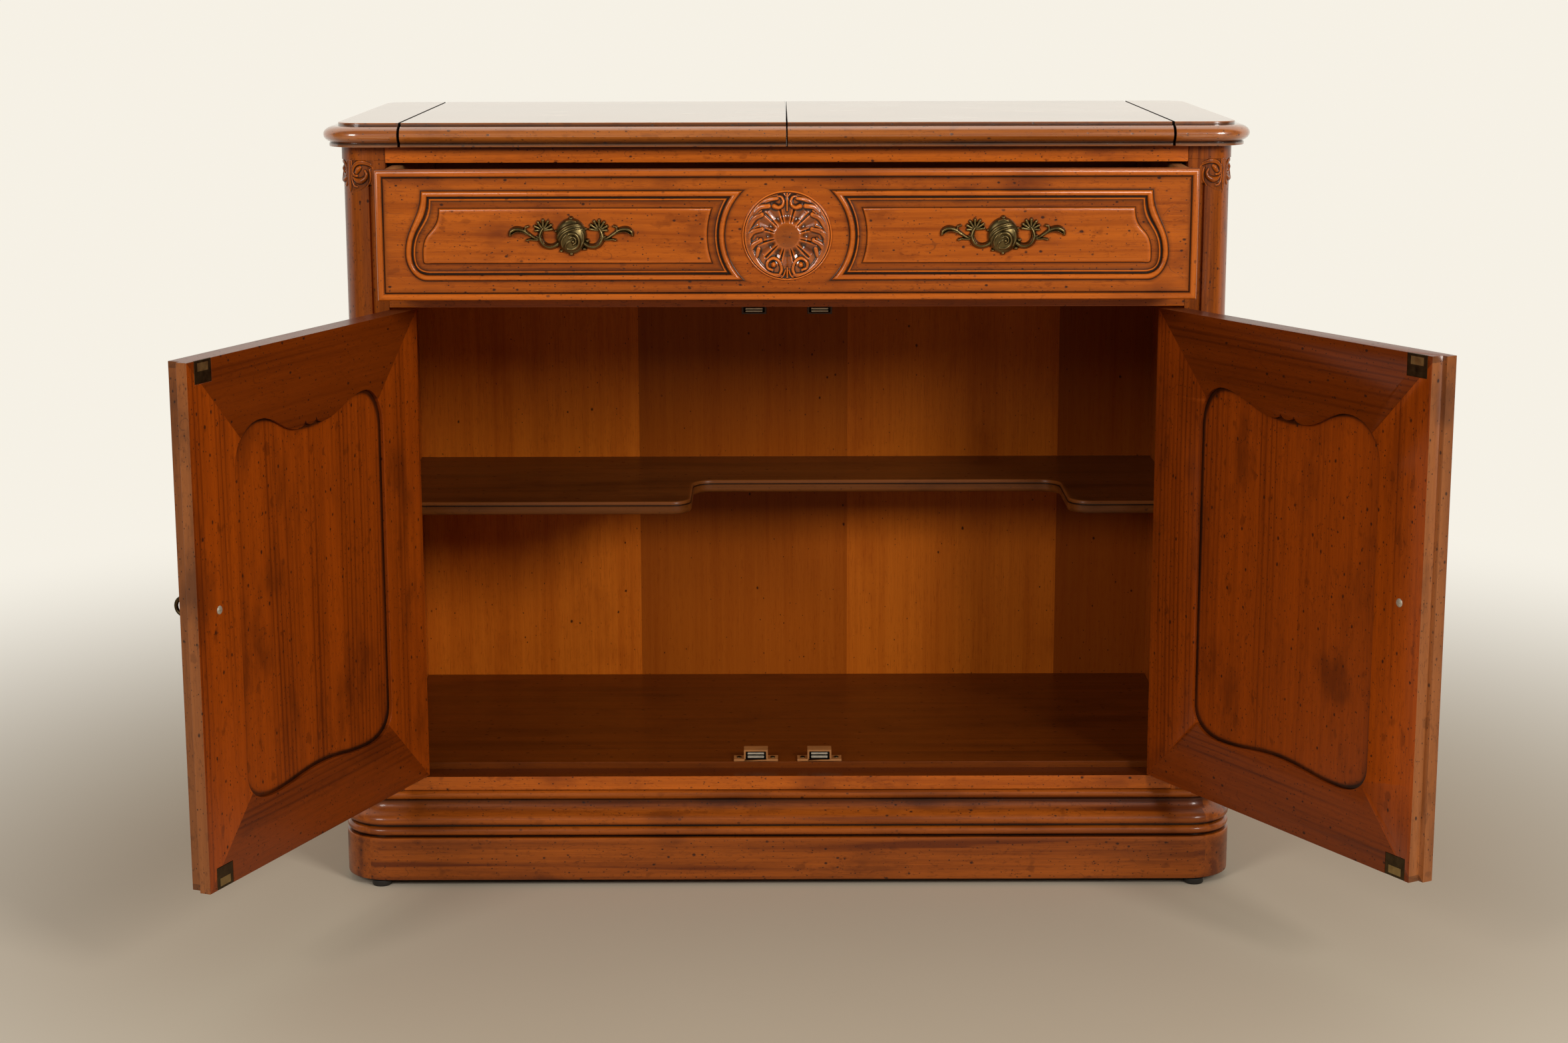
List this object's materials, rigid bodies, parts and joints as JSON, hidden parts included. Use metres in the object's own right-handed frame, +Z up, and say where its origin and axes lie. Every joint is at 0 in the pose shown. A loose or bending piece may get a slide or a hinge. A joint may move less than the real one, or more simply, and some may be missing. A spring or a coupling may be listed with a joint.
{
  "type": "bar cabinet",
  "caption": "Low wooden bar cabinet whose hinged top leaves fold out sideways as serving shelves, above a carved drawer and rebated doors with a notched shelf inside.",
  "frame": {"origin": "on the floor, under the middle of the footprint with the doors and drawer as pictured", "axes": "+X to the right along the front, +Y from the front to the back, +Z up"},
  "size_m": [1.141, 0.7644, 0.7801],
  "materials": {
    "cherry": "warm antiqued cherry with dark glaze in the mouldings, satin to gloss",
    "cherry_dark": "darker red-brown stained cherry inside the case, satin",
    "drawer_wood": "pale sealed hardwood, matt",
    "antique_brass": "antiqued brass, dark in the hollows and rubbed on the high places",
    "bronze": "dark bronze",
    "catch_plastic": "tan moulded plastic with steel pole plates",
    "glide_nylon": "dark nylon"
  },
  "bodies": {
    "cabinet": {"back_panel": "cherry", "frieze_rail": "cherry", "drawer_divider_rail": "cherry", "bottom_rail": "cherry", "base_moulding": "cherry", "plinth_frame": "cherry", "interior_floor": "cherry_dark", "serving_deck": "cherry", "shelf": "cherry_dark", "left_side_panel": "cherry", "right_side_panel": "cherry", "left_front_post": "cherry", "right_front_post": "cherry", "left_drawer_runner": "drawer_wood", "right_drawer_runner": "drawer_wood", "left_top_catch": "catch_plastic", "right_top_catch": "catch_plastic", "left_bottom_catch": "catch_plastic", "right_bottom_catch": "catch_plastic", "left_top_strip": "cherry", "right_top_strip": "cherry", "left_front_glide": "glide_nylon", "right_front_glide": "glide_nylon", "left_rear_glide": "glide_nylon", "right_rear_glide": "glide_nylon", "left_door_upper_post_leaf": "antique_brass", "left_door_lower_post_leaf": "antique_brass", "right_door_upper_post_leaf": "antique_brass", "right_door_lower_post_leaf": "antique_brass", "left_fold_hinge_front_fixed": "antique_brass", "left_fold_hinge_rear_fixed": "antique_brass", "right_fold_hinge_front_fixed": "antique_brass", "right_fold_hinge_rear_fixed": "antique_brass"},
    "left_leaf": {"left_top_leaf": "cherry", "left_fold_hinge_front_moving": "antique_brass", "left_fold_hinge_rear_moving": "antique_brass"},
    "right_leaf": {"right_top_leaf": "cherry", "right_fold_hinge_front_moving": "antique_brass", "right_fold_hinge_rear_moving": "antique_brass"},
    "drawer": {"drawer_front": "cherry", "drawer_back": "drawer_wood", "drawer_bottom": "drawer_wood", "drawer_left_side": "drawer_wood", "drawer_right_side": "drawer_wood", "drawer_left_pull": "antique_brass", "drawer_right_pull": "antique_brass"},
    "left_door": {"left_door_frame": "cherry", "left_door_panel": "cherry", "left_door_top_strike": "antique_brass", "left_door_bottom_strike": "antique_brass", "left_door_pull": "bronze", "left_door_upper_door_leaf": "antique_brass", "left_door_lower_door_leaf": "antique_brass"},
    "right_door": {"right_door_frame": "cherry", "right_door_panel": "cherry", "right_door_top_strike": "antique_brass", "right_door_bottom_strike": "antique_brass", "right_door_pull": "bronze", "right_door_upper_door_leaf": "antique_brass", "right_door_lower_door_leaf": "antique_brass"}
  },
  "joints": [
    {"name": "left_leaf_fold", "type": "hinge", "parent": "cabinet", "child": "left_leaf", "pos_m": [-0.39781, 0.17399, 0.7803], "axis": [0, -1, 0], "range_deg": [0, 180]},
    {"name": "right_leaf_fold", "type": "hinge", "parent": "cabinet", "child": "right_leaf", "pos_m": [0.35899, 0.17399, 0.7803], "axis": [0, 1, 0], "range_deg": [0, 180]},
    {"name": "drawer_slide", "type": "slide", "parent": "cabinet", "child": "drawer", "axis": [0, -1, 0], "range_m": [-0.0829, 0.19]},
    {"name": "left_door_hinge", "type": "hinge", "parent": "cabinet", "child": "left_door", "pos_m": [-0.41001, -0.01031, 0.355], "axis": [0, 0, -1], "range_deg": [-112.46, 12.5]},
    {"name": "right_door_hinge", "type": "hinge", "parent": "cabinet", "child": "right_door", "pos_m": [0.37119, -0.01031, 0.355], "axis": [0, 0, 1], "range_deg": [-119.57, 5.4]}
  ]
}
